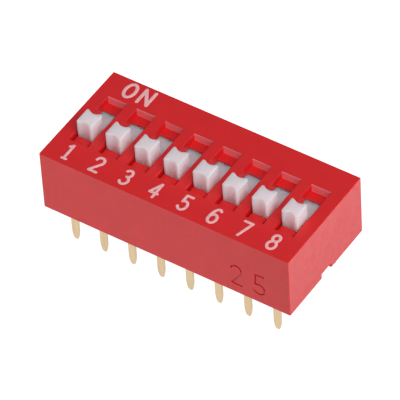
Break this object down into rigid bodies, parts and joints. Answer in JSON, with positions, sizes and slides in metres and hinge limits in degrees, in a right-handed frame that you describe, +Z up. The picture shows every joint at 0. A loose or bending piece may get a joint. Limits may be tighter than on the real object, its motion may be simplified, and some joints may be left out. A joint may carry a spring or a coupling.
{
  "type": "dip switch",
  "caption": "Low moulded slide switch block with raised square knobs in recessed slots and two rows of flat through-hole pins underneath.",
  "frame": {"origin": "middle of the cover's bottom rim, the plane that seats on a circuit board; the pins reach below it", "axes": "+X along the row of positions from 1 to 8, +Y towards the ON end of every slot, +Z up out of the board"},
  "size_m": [0.0216, 0.0098, 0.0103],
  "materials": {
    "cover": "red glass-filled thermoplastic, fine spark-eroded mould texture",
    "base": "black moulded thermoplastic",
    "slider": "natural white moulded thermoplastic",
    "contact": "gold-plated copper alloy strip",
    "terminal": "thinly gold-plated brass strip, satin",
    "ink": "white printed ink"
  },
  "bodies": {
    "housing": {"cover": "cover", "base": "base", "terminal_front_1": "terminal", "terminal_front_2": "terminal", "terminal_front_3": "terminal", "terminal_front_4": "terminal", "terminal_front_5": "terminal", "terminal_front_6": "terminal", "terminal_front_7": "terminal", "terminal_front_8": "terminal", "terminal_back_1": "terminal", "terminal_back_2": "terminal", "terminal_back_3": "terminal", "terminal_back_4": "terminal", "terminal_back_5": "terminal", "terminal_back_6": "terminal", "terminal_back_7": "terminal", "terminal_back_8": "terminal"},
    "switch_1": {"slider_1": "slider", "contact_1": "contact"},
    "switch_2": {"slider_2": "slider", "contact_2": "contact"},
    "switch_3": {"slider_3": "slider", "contact_3": "contact"},
    "switch_4": {"slider_4": "slider", "contact_4": "contact"},
    "switch_5": {"slider_5": "slider", "contact_5": "contact"},
    "switch_6": {"slider_6": "slider", "contact_6": "contact"},
    "switch_7": {"slider_7": "slider", "contact_7": "contact"},
    "switch_8": {"slider_8": "slider", "contact_8": "contact"}
  },
  "joints": [
    {"name": "switch_1_slide", "type": "slide", "parent": "housing", "child": "switch_1", "axis": [0, 1, 0], "range_m": [0, 0.002]},
    {"name": "switch_2_slide", "type": "slide", "parent": "housing", "child": "switch_2", "axis": [0, 1, 0], "range_m": [0, 0.002]},
    {"name": "switch_3_slide", "type": "slide", "parent": "housing", "child": "switch_3", "axis": [0, 1, 0], "range_m": [0, 0.002]},
    {"name": "switch_4_slide", "type": "slide", "parent": "housing", "child": "switch_4", "axis": [0, 1, 0], "range_m": [0, 0.002]},
    {"name": "switch_5_slide", "type": "slide", "parent": "housing", "child": "switch_5", "axis": [0, 1, 0], "range_m": [0, 0.002]},
    {"name": "switch_6_slide", "type": "slide", "parent": "housing", "child": "switch_6", "axis": [0, 1, 0], "range_m": [0, 0.002]},
    {"name": "switch_7_slide", "type": "slide", "parent": "housing", "child": "switch_7", "axis": [0, 1, 0], "range_m": [0, 0.002]},
    {"name": "switch_8_slide", "type": "slide", "parent": "housing", "child": "switch_8", "axis": [0, 1, 0], "range_m": [0, 0.002]}
  ]
}
